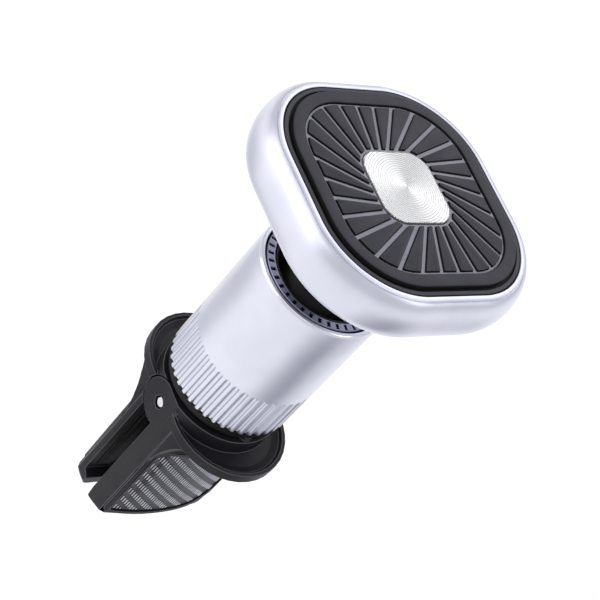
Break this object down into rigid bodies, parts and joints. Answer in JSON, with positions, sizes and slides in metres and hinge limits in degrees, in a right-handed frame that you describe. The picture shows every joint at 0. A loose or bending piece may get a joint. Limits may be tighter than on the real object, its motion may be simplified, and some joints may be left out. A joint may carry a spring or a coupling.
{
  "type": "magnetic air vent phone mount",
  "caption": "Magnetic phone mount for a car vent: sprung two-jaw clip closed by a screw sleeve, ball joint, and a rounded square magnetic head with a ribbed rubber face.",
  "frame": {"origin": "on the barrel's axis, level with the tips of the clip", "axes": "+Z along the barrel from the clip to the phone face; the hinge pin lies along X; the textured front jaw is on the -Y side"},
  "size_m": [0.0518, 0.0518, 0.1055],
  "materials": {
    "satin_shell": "satin lavender silver, bead blasted and anodised",
    "turned_plate": "fine turned rings, satin",
    "grey_ring": "satin grey with dark radial ticks",
    "black_plastic": "satin black glass-filled nylon",
    "dark_rubber": "matt charcoal silicone",
    "grey_rubber": "matt grey silicone",
    "woven_panel": "grey and black twill weave under a satin coat",
    "plated_steel": "bright zinc plated",
    "nickel": "nickel plated",
    "brass": "turned",
    "white_resin": "natural acetal"
  },
  "bodies": {
    "core": {"core_post": "black_plastic", "ball_seat": "white_resin", "seat_cushion": "dark_rubber", "ball_retainer": "black_plastic", "lock_ring": "grey_ring", "hinge_pin": "plated_steel", "left_hinge_spring": "plated_steel", "right_hinge_spring": "plated_steel"},
    "ball": {"ball": "black_plastic"},
    "ball_stud": {"ball_stud": "black_plastic"},
    "head": {"head_housing": "satin_shell", "yoke_plate": "plated_steel", "magnet_tray": "black_plastic", "magnet_1": "nickel", "magnet_2": "nickel", "magnet_3": "nickel", "magnet_4": "nickel", "magnet_5": "nickel", "magnet_6": "nickel", "face_pad": "dark_rubber", "groove_inlay": "grey_rubber", "centre_plate": "turned_plate", "neck_screw": "plated_steel"},
    "pressure_ring": {"pressure_ring": "black_plastic", "thrust_washer": "white_resin"},
    "grip_sleeve": {"grip_sleeve": "satin_shell", "thread_insert": "brass"},
    "front_jaw": {"front_jaw": "black_plastic", "front_inner_pad": "dark_rubber", "front_grip_panel": "woven_panel"},
    "rear_jaw": {"rear_jaw": "black_plastic", "rear_inner_pad": "dark_rubber", "rear_grip_panel": "woven_panel"}
  },
  "joints": [
    {"name": "head_pitch", "type": "hinge", "parent": "core", "child": "ball", "pos_m": [0, 0, 0.07], "axis": [1, 0, 0], "range_deg": [-22, 22]},
    {"name": "head_yaw", "type": "hinge", "parent": "ball", "child": "ball_stud", "pos_m": [0, 0, 0.07], "axis": [0, 1, 0], "range_deg": [-22, 22]},
    {"name": "head_spin", "type": "hinge", "parent": "ball_stud", "child": "head", "pos_m": [0, 0, 0.07], "axis": [0, 0, 1], "continuous": true},
    {"name": "ring_slide", "type": "slide", "parent": "core", "child": "pressure_ring", "axis": [0, 0, 1], "range_m": [-0.00041, 0.00079]},
    {"name": "sleeve_spin", "type": "hinge", "parent": "pressure_ring", "child": "grip_sleeve", "pos_m": [0, 0, 0.06], "axis": [0, 0, 1], "range_deg": [-100, 190]},
    {"name": "front_jaw_swing", "type": "hinge", "parent": "core", "child": "front_jaw", "pos_m": [0, 0, 0.0344], "axis": [1, 0, 0], "range_deg": [-4.6, 2.6]},
    {"name": "rear_jaw_swing", "type": "hinge", "parent": "core", "child": "rear_jaw", "pos_m": [0, 0, 0.0344], "axis": [1, 0, 0], "range_deg": [-2.6, 4.6]}
  ],
  "couplings": [
    {"joint": "sleeve_spin", "follows": "ring_slide", "rad_per_m": 4188.8},
    {"joint": "front_jaw_swing", "follows": "ring_slide", "rad_per_m": -86.957},
    {"joint": "rear_jaw_swing", "follows": "ring_slide", "rad_per_m": 86.957}
  ]
}
